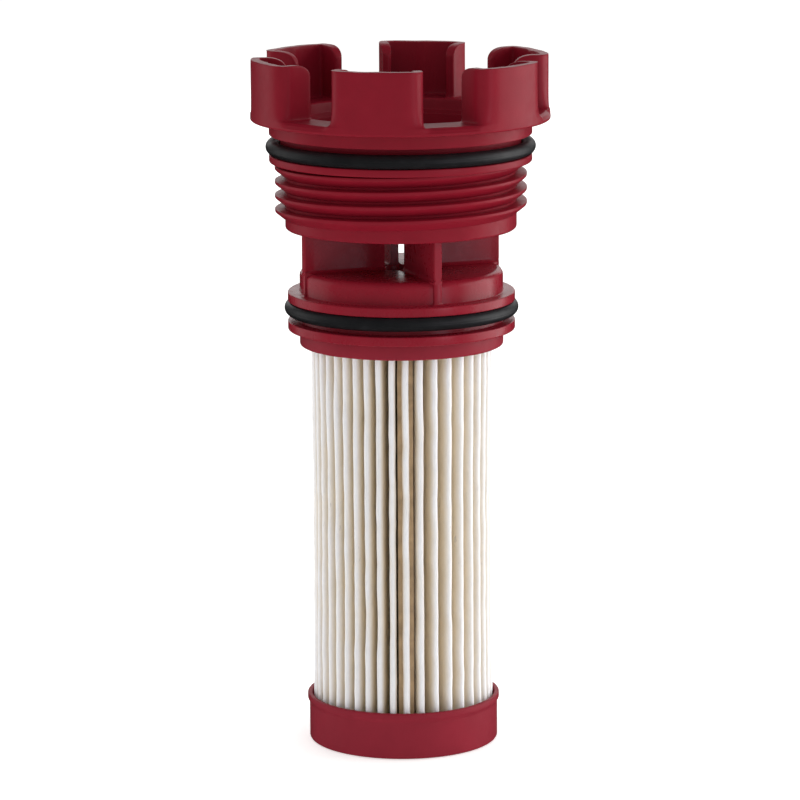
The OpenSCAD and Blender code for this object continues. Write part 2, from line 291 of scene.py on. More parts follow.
def turned(name, outline, close=False):
    """Draws an outline of (radius, height) points and spins it about the axis."""
    piece = draw_outline(name, outline)
    if close:
        ends = (outline[0], outline[-1])
        pick("VERT", lambda v: any(near(v.co.x, e[0], 1e-4) and near(v.co.z, e[1], 1e-4) for e in ends))
        bpy.ops.mesh.edge_face_add()
    bpy.ops.mesh.select_all(action="SELECT")
    bpy.ops.mesh.spin(steps=TURN_STEPS, angle=2 * math.pi, center=(0, 0, 0), axis=(0, 0, 1))
    tidy_mesh()
    return piece


def tidy_mesh():
    """Merges doubles and turns all faces outwards."""
    bpy.ops.mesh.select_all(action="SELECT")
    bpy.ops.mesh.remove_doubles(threshold=1e-4)
    bpy.ops.mesh.normals_make_consistent(inside=False)


def apply_modifier(piece, kind, **settings):
    """Adds a modifier with its settings and applies it."""
    choose(piece)
    modifier = piece.modifiers.new(kind.title(), kind)
    for key, value in settings.items():
        setattr(modifier, key, value)
    bpy.ops.object.modifier_apply(modifier=modifier.name)


def join(main, *others):
    """Joins other pieces of the same moulding into the main one."""
    choose(main, *others)
    bpy.ops.object.join()


def hand_over(piece, material, nodes, smooth=35):
    """Brings a piece down to metres, smooths it, gives it its material and puts it in its node's place."""
    choose(piece)
    piece.scale = (MM, MM, MM)
    bpy.ops.object.transform_apply(location=True, rotation=True, scale=True)
    bpy.ops.object.shade_smooth_by_angle(angle=math.radians(smooth))
    piece.data.materials.clear()
    piece.data.materials.append(material)
    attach(piece, "root")
    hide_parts(*nodes)
    put_down()


# ---------------------------------------------------------------- finishes

def add(tree, kind, values=None, links=None, **settings):
    """Adds one node with its settings, its input values and its links from (node, output) pairs."""
    node = tree.nodes.new(kind)
    for key, value in settings.items():
        setattr(node, key, value)
    for key, value in (values or {}).items():
        node.inputs[key].default_value = value
    for key, (source, output) in (links or {}).items():
        tree.links.new(source.outputs[output], node.inputs[key])
    return node


def ramp(tree, source, output, stops):
    """A colour ramp over (place, colour) stops; a colour may be one number."""
    node = add(tree, "ShaderNodeValToRGB", links={"Fac": (source, output)})
    band = node.color_ramp
    while len(band.elements) < len(stops):
        band.elements.new(0.5)
    for element, (place, tone) in zip(band.elements, stops):
        element.position = place
        element.color = (tone,) * 3 + (1,) if isinstance(tone, float) else tuple(tone) + (1,)
    return node


def per_mm(feature):
    """Scale of a noise whose features are that many millimetres across."""
    return 1 / (feature * MM)


def shade(base, factor):
    return tuple(min(1.0, c * factor) for c in base)


def new_finish(name):
    """A new material, its node tree, its shader and its object coordinates."""
    material = bpy.data.materials.new(name)
    material.use_nodes = True
    tree = material.node_tree
    return material, tree, tree.nodes["Principled BSDF"], add(tree, "ShaderNodeTexCoord")


def moulded_nylon(name, base, gloss, grain, specular=0.5):
    """Injection-moulded, pigmented nylon 6: a semi-gloss skin over an even colour. The faint cloudiness of
    the pigment, the slow dips of shrinkage and the fine grain of the tool break up its highlights."""
    material, tree, shader, place = new_finish(name)
    base = tuple(base)
    cloud = add(tree, "ShaderNodeTexNoise", {"Scale": per_mm(7), "Detail": 3.0, "Roughness": 0.55},
                {"Vector": (place, "Object")})
    tint = ramp(tree, cloud, "Fac", ((0.3, shade(base, 0.93)), (0.55, base), (0.75, shade(base, 1.07))))
    tree.links.new(tint.outputs["Color"], shader.inputs["Base Color"])
    skin = add(tree, "ShaderNodeTexNoise", {"Scale": per_mm(2.2), "Detail": 4.0, "Roughness": 0.6},
               {"Vector": (place, "Object")})
    dull = add(tree, "ShaderNodeMapRange",
               {"From Min": 0.3, "From Max": 0.7, "To Min": gloss - 0.04, "To Max": gloss + 0.06},
               {"Value": (skin, "Fac")})
    tree.links.new(dull.outputs["Result"], shader.inputs["Roughness"])
    fine = add(tree, "ShaderNodeTexNoise", {"Scale": per_mm(0.45), "Detail": 2.0, "Roughness": 0.5},
               {"Vector": (place, "Object")})
    slow = add(tree, "ShaderNodeTexNoise", {"Scale": per_mm(9), "Detail": 1.0, "Roughness": 0.4},
               {"Vector": (place, "Object")})
    dips = add(tree, "ShaderNodeBump", {"Strength": 0.12, "Distance": 0.6 * MM}, {"Height": (slow, "Fac")})
    bumps = add(tree, "ShaderNodeBump", {"Strength": grain, "Distance": 0.03 * MM},
                {"Height": (fine, "Fac"), "Normal": (dips, "Normal")})
    tree.links.new(bumps.outputs["Normal"], shader.inputs["Normal"])
    shader.inputs["IOR"].default_value = 1.53
    shader.inputs["Specular IOR Level"].default_value = specular
    return material


def nitrile_rubber(name, base):
    """Compression-moulded nitrile rubber: near black, with a satin skin and a faint bloom that greys its
    highlights."""
    material, tree, shader, place = new_finish(name)
    base = tuple(base)
    bloom = add(tree, "ShaderNodeTexNoise", {"Scale": per_mm(3.5), "Detail": 5.0, "Roughness": 0.65},
                {"Vector": (place, "Object")})
    tint = ramp(tree, bloom, "Fac", ((0.35, shade(base, 0.8)), (0.6, base), (0.8, shade(base, 1.5))))
    tree.links.new(tint.outputs["Color"], shader.inputs["Base Color"])
    dull = add(tree, "ShaderNodeMapRange", {"From Min": 0.3, "From Max": 0.75, "To Min": 0.4, "To Max": 0.58},
               {"Value": (bloom, "Fac")})
    tree.links.new(dull.outputs["Result"], shader.inputs["Roughness"])
    fine = add(tree, "ShaderNodeTexNoise", {"Scale": per_mm(0.3), "Detail": 2.0},
               {"Vector": (place, "Object")})
    bumps = add(tree, "ShaderNodeBump", {"Strength": 0.25, "Distance": 0.02 * MM}, {"Height": (fine, "Fac")})
    tree.links.new(bumps.outputs["Normal"], shader.inputs["Normal"])
    shader.inputs["IOR"].default_value = 1.52
    shader.inputs["Specular IOR Level"].default_value = 0.28
    return material


def filter_paper(name, tip, fold, fold_r, tip_r):
    """Resin-treated cellulose paper, creased into pleats: matt, fibrous and off-white. Painted shade turns it
    tan deep between the pleats, where the folds shade one another. Grey flecks lie at mid-height."""
    material, tree, shader, place = new_finish(name)
    flat = add(tree, "ShaderNodeVectorMath", {1: (1, 1, 0)}, {0: (place, "Object")}, operation="MULTIPLY")
    reach = add(tree, "ShaderNodeVectorMath", links={0: (flat, "Vector")}, operation="LENGTH")
    depth = add(tree, "ShaderNodeMapRange", {"From Min": fold_r * MM, "From Max": tip_r * MM},
                {"Value": (reach, "Value")})
    # Painted shade: the sheet's off-white darkens to tan towards the inner folds, where the pleats shade one
    # another
    half_shade = tuple(0.5 * (a + b) for a, b in zip(tip, fold))
    shaded_by_depth = ramp(tree, depth, "Result",
                 ((0.0, tuple(fold)), (0.8, tuple(fold)), (0.93, half_shade), (0.98, tuple(tip))))
    # Fibres lie mostly along the sheet's height, drawn 0.35 mm wide, coarser than life, so that they show
    drawn = add(tree, "ShaderNodeMapping", {"Scale": (1, 1, 0.25)}, {"Vector": (place, "Object")})
    fibre = add(tree, "ShaderNodeTexNoise", {"Scale": per_mm(0.35), "Detail": 5.0, "Roughness": 0.65},
                {"Vector": (drawn, "Vector")})
    mottle = add(tree, "ShaderNodeTexNoise", {"Scale": per_mm(4.0), "Detail": 3.0},
                 {"Vector": (place, "Object")})
    fibre_tone = ramp(tree, fibre, "Fac", ((0.3, 0.93), (0.7, 1.0)))
    mottle_tone = ramp(tree, mottle, "Fac", ((0.3, 0.95), (0.7, 1.0)))
    mixed = add(tree, "ShaderNodeMix", {"Factor": 1.0}, {6: (shaded_by_depth, "Color"), 7: (fibre_tone, "Color")},
                data_type="RGBA", blend_type="MULTIPLY")
    mixed = add(tree, "ShaderNodeMix", {"Factor": 1.0}, {6: (mixed, 2), 7: (mottle_tone, "Color")},
                data_type="RGBA", blend_type="MULTIPLY")
    # Grey flecks, about a millimetre wide and a few long, in a belt round the filter between two heights
    smear = add(tree, "ShaderNodeMapping", {"Scale": (1, 1, 0.3)}, {"Vector": (place, "Object")})
    specks = add(tree, "ShaderNodeTexNoise", {"Scale": per_mm(0.9), "Detail": 2.0, "Roughness": 0.7},
                 {"Vector": (smear, "Vector")})
    speck_tone = ramp(tree, specks, "Fac", ((0.66, 0.0), (0.74, 1.0)))
    split = add(tree, "ShaderNodeSeparateXYZ", links={"Vector": (place, "Object")})
    above = add(tree, "ShaderNodeMapRange", {"From Min": 36 * MM, "From Max": 46 * MM},
                {"Value": (split, "Z")})
    below = add(tree, "ShaderNodeMapRange", {"From Min": 62 * MM, "From Max": 52 * MM},
                {"Value": (split, "Z")})
    belt = add(tree, "ShaderNodeMath", links={0: (above, "Result"), 1: (below, "Result")},
               operation="MULTIPLY")
    fleck = add(tree, "ShaderNodeMath", links={0: (belt, "Value"), 1: (speck_tone, "Color")},
                operation="MULTIPLY")
    fleck = add(tree, "ShaderNodeMath", {1: 0.35}, {0: (fleck, "Value")}, operation="MULTIPLY")
    mixed = add(tree, "ShaderNodeMix", {7: (0.3, 0.3, 0.32, 1)}, {"Factor": (fleck, "Value"), 6: (mixed, 2)},
                data_type="RGBA")
    tree.links.new(mixed.outputs[2], shader.inputs["Base Color"])
    crease = add(tree, "ShaderNodeBump", {"Strength": 0.5, "Distance": 0.05 * MM}, {"Height": (fibre, "Fac")})
    tree.links.new(crease.outputs["Normal"], shader.inputs["Normal"])
    shader.inputs["Roughness"].default_value = 0.88
    # Light passes through the sheet and warms the hollows between the pleats
    shader.inputs["Subsurface Weight"].default_value = 0.5
    shader.inputs["Subsurface Radius"].default_value = (1.0, 0.95, 0.85)
    shader.inputs["Subsurface Scale"].default_value = 3 * MM
    shader.inputs["IOR"].default_value = 1.48
    shader.inputs["Specular IOR Level"].default_value = 0.3
    shader.inputs["Sheen Weight"].default_value = 0.08
    shader.inputs["Sheen Roughness"].default_value = 0.6
    return material


def cured_adhesive(name, base):
    """Hot-run adhesive set in place: amber-brown, satin, with soft ripples from how it flowed."""
    material, tree, shader, place = new_finish(name)
    base = tuple(base)
    flow = add(tree, "ShaderNodeTexNoise", {"Scale": per_mm(2.5), "Detail": 3.0},
               {"Vector": (place, "Object")})
    tint = ramp(tree, flow, "Fac", ((0.3, shade(base, 0.75)), (0.7, shade(base, 1.15))))
    tree.links.new(tint.outputs["Color"], shader.inputs["Base Color"])
    bumps = add(tree, "ShaderNodeBump", {"Strength": 0.4, "Distance": 0.15 * MM}, {"Height": (flow, "Fac")})
    tree.links.new(bumps.outputs["Normal"], shader.inputs["Normal"])
    shader.inputs["Roughness"].default_value = 0.42
    shader.inputs["IOR"].default_value = 1.5
    return material


def finish_named(name):
    """One of the filter's finishes, made the first time that it is asked for."""
    if name in bpy.data.materials:
        return bpy.data.materials[name]
    tone = colours()
    size = sizes()
    if name == "cap_moulded_nylon":
        return moulded_nylon(name, tone.cap, gloss=0.38, grain=0.35, specular=0.11)
    if name == "cage_moulded_nylon":
        return moulded_nylon(name, tone.cage, gloss=0.28, grain=0.2, specular=0.17)
    if name == "end_cap_moulded_nylon":
        return moulded_nylon(name, tone.end_caps, gloss=0.46, grain=0.5, specular=0.13)
    if name == "core_moulded_nylon":
        return moulded_nylon(name, tone.core, gloss=0.5, grain=0.4)
    if name == "nitrile_rubber":
        return nitrile_rubber(name, tone.o_rings)
    if name == "pleated_filter_paper":
        return filter_paper(name, tone.paper_tip, tone.paper_fold_shade, size["fold_r"], PAPER_HIGH.x / MM)
    if name == "cured_adhesive":
        return cured_adhesive(name, tone.adhesive)
    raise RuntimeError(f"there is no finish named {name}")


# ---------------------------------------------------------------- the threaded cap

def lug_angle(point):
    """Angle from the middle of the nearest lug, in degrees."""
    return (angle_of(point) + 180 / LUGS) % (360 / LUGS) - 180 / LUGS


def model_crown(size, top, floor):
    """The crown's ring with its six hollow lugs, as a cage that the subdivision rounds."""
    crown, inner, wall = size["crown_r"], size["lug_inner_r"], size["lug_wall"]
    pocket = crown - wall
    put_down()
    bpy.ops.mesh.primitive_circle_add(
        vertices=RING_VERTICES, radius=BORE_R, location=(0, 0, 0), fill_type="NOTHING")
    piece = open_new("threaded_cap_moulding")
    move(z=floor - BORE_DROP)
    radii = (inner, inner + 1.1, inner + 3.1, pocket - 1.0, pocket, crown)
    climb([(BORE_R, floor - BORE_DROP), (BORE_R + 0.34, floor - 0.45), (BORE_R + 0.57, floor)]
          + [(r, floor) for r in radii])
    # The columns that lie 15 and 18 degrees off become the side walls' inner faces and the lugs' flanks
    for r in radii:
        for side in (1, -1):
            pick("VERT", lambda v: near(radius_of(v.co), r) and near(side * lug_angle(v.co), 18, 0.1))
            swing(side * (FLANK - 18))
            pick("VERT", lambda v: near(radius_of(v.co), r) and near(side * lug_angle(v.co), 15, 0.1))
            swing(side * (FLANK - math.degrees(math.asin(wall / r)) - 15))
    # The ring's edge is drawn in under the slots
    slot_in = 1.15
    pick("VERT", lambda v: near(radius_of(v.co), crown) and abs(lug_angle(v.co)) > FLANK + 1)
    grow((crown - slot_in) / crown)

    def in_lug(face):
        centre = face.calc_center_median()
        off, r = abs(lug_angle(centre)), radius_of(centre)
        return off < FLANK and r > inner and (r > pocket - 0.05 or off > 14.6)

    pick("FACE", in_lug)
    draw_out(z=0.8)
    draw_out(z=size["lug_h"] - 0.8 - 0.4)
    draw_out(z=0.4)
    bpy.ops.mesh.inset(thickness=0.4, use_even_offset=True)
    # Inner top corners of the side walls fall away in a round
    for start, end, drop in ((-0.3, 0.2, 2.5), (0.2, 0.8, 1.8), (0.8, 1.7, 0.7)):
        pick("VERT", lambda v: top - 0.6 < v.co.z and start < radius_of(v.co) - inner < end)
        move(z=-drop)
    # The outer corners are drawn in, so that they round more broadly than the other edges
    corners = ((crown, FLANK, 1.6, 1.25), (crown, FLANK - 3.6, 0, 0.3), (pocket, FLANK, 0.35, 0))
    for side in (1, -1):
        for r, at, turn, inward in corners:
            pick("VERT", lambda v: near(radius_of(v.co), r, 0.1) and near(side * lug_angle(v.co), at, 0.35)
                 and v.co.z > floor + 0.3)
            swing(-side * turn)
            grow((r - inward) / r)
    # A slim upright rib in the middle of each lug's outer wall
    pick("VERT", lambda v: near(radius_of(v.co), pocket, 0.05) and abs(lug_angle(v.co)) < 0.5
         and v.co.z > floor + 0.3)
    grow((pocket - 0.5) / pocket)
    # The tops are a little uneven, as they come off the tool
    for k, rise in enumerate((-0.05, 0.0, 0.03, -0.03, 0.02, -0.01, 0.01)):
        pick("VERT", lambda v: v.co.z > top - 0.1 and round(angle_of(v.co) / 3) * 3 % 7 == k)
        move(z=rise)
    # The ring's outer edge comes out again under the slots, and then its underside is drawn in
    pick("EDGE", lambda e: e.is_boundary and radius_of(e.verts[0].co) > inner)
    was = slot_in
    for drop, back in ((0.3, 1.0), (0.2, 0.5), (0.35, 0.42), (0.25, 0.05)):
        draw_out(z=-drop)
        pick("VERT", lambda v: near(radius_of(v.co), crown - was, 0.04) and abs(lug_angle(v.co)) > FLANK + 1
             and v.co.z < floor - 0.1 and any(e.is_boundary for e in v.link_edges))
        grow((crown - back) / (crown - was))
        was = back
        pick("EDGE", lambda e: e.is_boundary and radius_of(e.verts[0].co) > inner)
    base = floor - size["ring_t"]
    climb([(crown, floor - 1.1), (crown, base + 0.3), (crown - 0.3, base), (crown - 0.9, base),
           (crown - 2.2, base)])
    tidy_mesh()
    apply_modifier(piece, "SUBSURF", levels=2, render_levels=2)
    return piece


def model_thread(size, z_low, z_high):
    """The single right-hand thread: a steep upper side, a rounded crest and a long slanting lower side."""
    crest, root, pitch = size["crest_r"], size["root_r"], size["pitch"]
    turns = (z_high - z_low) / pitch
    outline = rounded([
        (root - 0.5, z_low + 0.3), (crest, z_low + 0.05, 0.14), (crest - 0.04, z_low - 0.62, 0.4),
        (root + 0.1, z_low - 2.25, 0.6), (root - 0.5, z_low - 2.5)], steps=3)
    piece = draw_outline("thread_ridge", outline)
    bpy.ops.mesh.select_all(action="SELECT")
    bpy.ops.mesh.edge_face_add()
    swing(THREAD_START)
    bpy.ops.mesh.delete(type="ONLY_FACE")
    steps = int(round(120 * turns))
    apply_modifier(piece, "SCREW", axis="Z", angle=2 * math.pi * turns, screw_offset=pitch * turns,
                   steps=steps, render_steps=steps, use_merge_vertices=False)
    take_up(piece)
    # Both ends fade into the skirt over a tenth of a turn
    corners = len(outline)
    rings = len(bmesh.from_edit_mesh(piece.data).verts) // corners
    fade = 13
    for i in range(fade):
        for ring in (i, rings - 1 - i):
            pick("VERT", lambda v: v.index // corners == ring)
            grow(1 - 0.085 * (1 - i / fade))
    pick("EDGE", lambda e: e.is_boundary)
    bpy.ops.mesh.edge_face_add()
    tidy_mesh()
    return piece


class FUELFILTER_OT_cap(bpy.types.Operator):
    """Model the threaded cap: its crown of hollow lugs, its well, neck, upper groove and thread"""
    bl_idname = "fuelfilter.cap"
    bl_label = "Threaded cap"

    def execute(self, context):
        size = sizes()
        top, low = CAP_HIGH.z / MM, CAP_LOW.z / MM
        floor = top - size["lug_h"]
        piece = model_crown(size, top, floor)
        take_up(piece)
        base = floor - size["ring_t"]
        neck, root, groove = size["neck_r"], size["root_r"], size["groove_r"]
        ring_z = (UPPER_RING_LOW.z + UPPER_RING_HIGH.z) / 2 / MM
        groove_low = ring_z - size["cord_d"] / 2 - CORD_GAP
        groove_high = groove_low + GROOVE_W
        land = groove_low - 1.6
        pick("EDGE", lambda e: e.is_boundary and radius_of(e.verts[0].co) > 26)
        plate_seat = low + 2.55
        climb(rounded([
            (size["crown_r"] - 2.2, base), (neck, base, 0.4), (neck, groove_high, 0.2),
            (groove, groove_high, 0.25), (groove, groove_low, 0.25), (neck, groove_low, 0.2),
            (neck, land, 0.3), (root, land, 0.15), (root, low, 0.5), (root - 1.95, low, 0.25),
            (root - 1.95, plate_seat, 0.2), (0, plate_seat)], steps=3))
        pick("EDGE", lambda e: e.is_boundary and radius_of(e.verts[0].co) < 23)
        well, well_floor = size["well_r"], low + 4.85
        climb(rounded([
            (BORE_R, floor - BORE_DROP), (BORE_R - 0.13, floor - 2.3, 0.08), (well + 0.3, floor - 2.3, 0.08),
            (well + 0.25, floor - 3.2, 0.1), (well, floor - 3.2, 0.08), (well, well_floor, 1.2),
            (0, well_floor)], steps=3))
        tidy_mesh()
        thread = model_thread(size, low + 3.55, land + 0.9)
        join(piece, thread)
        hand_over(piece, finish_named("cap_moulded_nylon"), ["threaded_cap"])
        return {"FINISHED"}


# ---------------------------------------------------------------- O-rings

class FUELFILTER_OT_o_rings(bpy.types.Operator):
    """Model the two O-rings, each with the faint parting line that its mould leaves"""
    bl_idname = "fuelfilter.o_rings"
    bl_label = "O-rings"

    def execute(self, context):
        cord = sizes()["cord_d"] / 2
        rings = (("upper_o_ring", UPPER_RING_LOW, UPPER_RING_HIGH),
                 ("lower_o_ring", LOWER_RING_LOW, LOWER_RING_HIGH))
        for node, low, high in rings:
            outer, middle = high.x / MM, (low.z + high.z) / 2 / MM
            put_down()
            bpy.ops.mesh.primitive_torus_add(
                major_segments=192, minor_segments=32, major_radius=outer - cord, minor_radius=cord,
                location=(0, 0, 0))
            piece = open_new(node + "_rubber")
            move(z=middle)
            # The parting line: a hair-thin step round the outside
            pick("EDGE", lambda e: all(
                near(radius_of(v.co), outer) and near(v.co.z, middle) for v in e.verts))
            bpy.ops.mesh.bevel(offset=0.07, segments=2, affect="EDGES")
            pick("VERT", lambda v: radius_of(v.co) > outer - cord and near(v.co.z, middle, 0.01))
            grow((outer - 0.035) / outer)
            tidy_mesh()
            hand_over(piece, finish_named("nitrile_rubber"), [node], smooth=50)
        return {"FINISHED"}


# ---------------------------------------------------------------- the outlet cage

def model_vane(size, boss_top, plate):
    """One vane along +X, whose foot flares into the boss."""
    half, start, end = size["vane_t"] / 2, size["port_r"] + 0.1, VANE_R
    flare = 0.95
    foot = boss_top - 0.4
    right = [(half + flare, foot), (half + flare, boss_top)]
    for k in range(1, 6):
        a = math.radians(90 * k / 5)
        right.append((half + flare * (1 - math.sin(a)), boss_top + flare * (1 - math.cos(a))))
    right += [(half, plate + 0.3)]
    outline = right + [(-y, z) for y, z in reversed(right)]
    piece = start_chain("vane", start, outline[0][0], outline[0][1])
    for a, b in zip(outline, outline[1:]):
        draw_out(y=b[0] - a[0], z=b[1] - a[1])
    bpy.ops.mesh.select_all(action="SELECT")
    bpy.ops.mesh.edge_face_add()
    flat_end = size["boss_r"] - 1.9
    draw_out(x=flat_end - start)
    # Towards the boss's rounded edge the foot narrows again, in three steps
    for reach, keep in ((0.7, 0.7), (0.6, 0.35), (0.6, 0.04)):
        draw_out(x=reach)
        x_now = max(v.co.x for v in bmesh.from_edit_mesh(piece.data).verts)
        pick("VERT", lambda v: near(v.co.x, x_now) and abs(v.co.y) > half + 0.01)
        wide = max(abs(v.co.y) for v in bmesh.from_edit_mesh(piece.data).verts if v.select)
        factor = (half + flare * keep) / wide
        bpy.ops.transform.resize(value=(1, factor, 1), center_override=(0, 0, 0))
        pick("FACE", lambda f: near(f.calc_center_median().x, x_now, 0.001))
    x_now = max(v.co.x for v in bmesh.from_edit_mesh(piece.data).verts)
    draw_out(x=end - 0.25 - x_now)
    draw_out(x=0.25)
    bpy.ops.transform.resize(value=(1, (half - 0.22) / half, 1), center_override=(0, 0, 0))
    tidy_mesh()
    return piece


def model_rib(size, flange, boss_top, outer):
    """The rib that carries a vane's outer edge down the boss, flaring a little at its foot."""
    half = size["vane_t"] / 2
    put_down()
    bpy.ops.mesh.primitive_cube_add(size=1, location=(0, 0, 0))
    piece = open_new("rib")
    bpy.ops.transform.resize(value=(3.0, 2 * half, boss_top + 0.3 - flange), center_override=(0, 0, 0))
    move(x=outer - 1.5, z=(boss_top + 0.3 + flange) / 2)
    bpy.ops.mesh.bisect(plane_co=(0, 0, flange + 0.6), plane_no=(0, 0, 1), use_fill=False, threshold=1e-4)
    bpy.ops.mesh.select_all(action="SELECT")
    bpy.ops.mesh.bisect(plane_co=(0, 0, flange + 0.2), plane_no=(0, 0, 1), use_fill=False, threshold=1e-4)
    pick("VERT", lambda v: v.co.z < flange + 0.05)
    bpy.ops.transform.resize(value=(1, 1.6, 1), center_override=(0, 0, 0))
    pick("VERT", lambda v: v.co.z < flange + 0.05 and v.co.x > outer - 0.5)
    move(x=0.5)
    pick("VERT", lambda v: near(v.co.z, flange + 0.2, 0.05))
    bpy.ops.transform.resize(value=(1, 1.2, 1), center_override=(0, 0, 0))
    pick("VERT", lambda v: near(v.co.z, flange + 0.2, 0.05) and v.co.x > outer - 0.5)
    move(x=0.15)
    pick("EDGE", lambda e: all(near(v.co.x, outer, 0.01) for v in e.verts)
         and abs(e.verts[0].co.z - e.verts[1].co.z) > 1)
    bpy.ops.mesh.bevel(offset=0.22, segments=2, affect="EDGES")
    tidy_mesh()
    return piece


class FUELFILTER_OT_cage(bpy.types.Operator):
    """Model the outlet cage: hollow gland, boss, port and spigot, four vanes and top plate"""
    bl_idname = "fuelfilter.cage"
    bl_label = "Outlet cage"

    def execute(self, context):
        size = sizes()
        low, gland = CAGE_LOW.z / MM, TOP_END_HIGH.z / MM
        ring_z = (LOWER_RING_LOW.z + LOWER_RING_HIGH.z) / 2 / MM
        groove_high = ring_z + size["cord_d"] / 2 + CORD_GAP
        groove_low = groove_high - GROOVE_W
        flange = groove_high + 1.95
        boss_top = flange + 4.8
        plate = CAGE_HIGH.z / MM - PLATE_T
        rim, boss, port = size["flange_r"], size["boss_r"], size["port_r"]
        groove_floor = LOWER_RING_HIGH.x / MM - size["cord_d"] - CORD_GAP
        hollow_r, hollow_top = groove_floor - 2.1, boss_top - 2.1
        piece = turned("outlet_cage_moulding", rounded([
            (port, low + 1.0), (port, low, 0.3), (port + 1.6, low, 0.3), (port + 1.6, gland),
            (port + 2.6, gland), (port + 2.6, hollow_top, 0.4), (hollow_r, hollow_top, 0.4),
            (hollow_r, gland), (rim, gland, 0.25), (rim, groove_low, 0.2), (groove_floor, groove_low, 0.2),
            (groove_floor, groove_high, 0.2), (rim, groove_high, 0.2), (rim, flange, 0.3),
            (boss, flange, 0.35), (boss, boss_top, 1.4), (port, boss_top, 0.35),
            (port, low + 2.0)]), close=True)
        plate_r = CAGE_HIGH.x / MM
        disc = turned("top_plate", rounded([
            (0, plate), (plate_r, plate, 0.2), (plate_r, plate + PLATE_T, 0.2), (0, plate + PLATE_T)]))
        vane = model_vane(size, boss_top, plate)
        # The rib lies a hair inside the vane's outer edge, so that their faces don't coincide
        rib = model_rib(size, flange, boss_top, VANE_R - 0.03)
        join(vane, rib)
        take_up(vane)
        bpy.ops.mesh.select_all(action="SELECT")
        bpy.ops.mesh.spin(steps=4, dupli=True, angle=2 * math.pi, center=(0, 0, 0), axis=(0, 0, 1))
        tidy_mesh()
        join(piece, disc, vane)
        hand_over(piece, finish_named("cage_moulded_nylon"), ["outlet_cage"])
        return {"FINISHED"}


# ---------------------------------------------------------------- end caps

class FUELFILTER_OT_end_caps(bpy.types.Operator):
    """Model the element's two end caps"""
    bl_idname = "fuelfilter.end_caps"
    bl_label = "End caps"

    def execute(self, context):
        top, rim, outer = TOP_END_HIGH.z / MM, TOP_END_LOW.z / MM, TOP_END_HIGH.x / MM
        port, web = sizes()["port_r"], 1.4
        bore = outer - 2.0
        collar = turned("top_end_cap_moulding", rounded([
            (port + 1.65, top), (port + 1.65, top - web), (bore, top - web, 0.2), (bore, rim, 0.25),
            (outer, rim, 0.4), (outer, top, 0.15), (port + 3, top)]), close=True)
        hand_over(collar, finish_named("end_cap_moulded_nylon"), ["top_end_cap"])
        high, wide = BASE_HIGH.z / MM, BASE_HIGH.x / MM
        bore = wide - 1.0
        cup = turned("bottom_end_cap_moulding", rounded([
            (0, 0), (wide - 4.2, 0), (wide - 3.9, 0), (wide - 0.4, 0, 0.55), (wide - 0.4, high - 2.0, 0.4),
            (wide, high - 1.2, 0.3), (wide, high, 0.3), (bore, high, 0.25), (bore, web, 0.5), (0, web)]))
        hand_over(cup, finish_named("end_cap_moulded_nylon"), ["bottom_end_cap"])
        return {"FINISHED"}


# ---------------------------------------------------------------- the pleated paper

def pleat_drift(angle):
    """How far the pleats are pushed from an even spacing, in degrees, by an angle from the front."""
    turn = math.radians(angle)
    return 1.2 + 3.35 * math.sin(2 * turn - 0.42) + 1.13 * math.sin(4 * turn - 1.64)


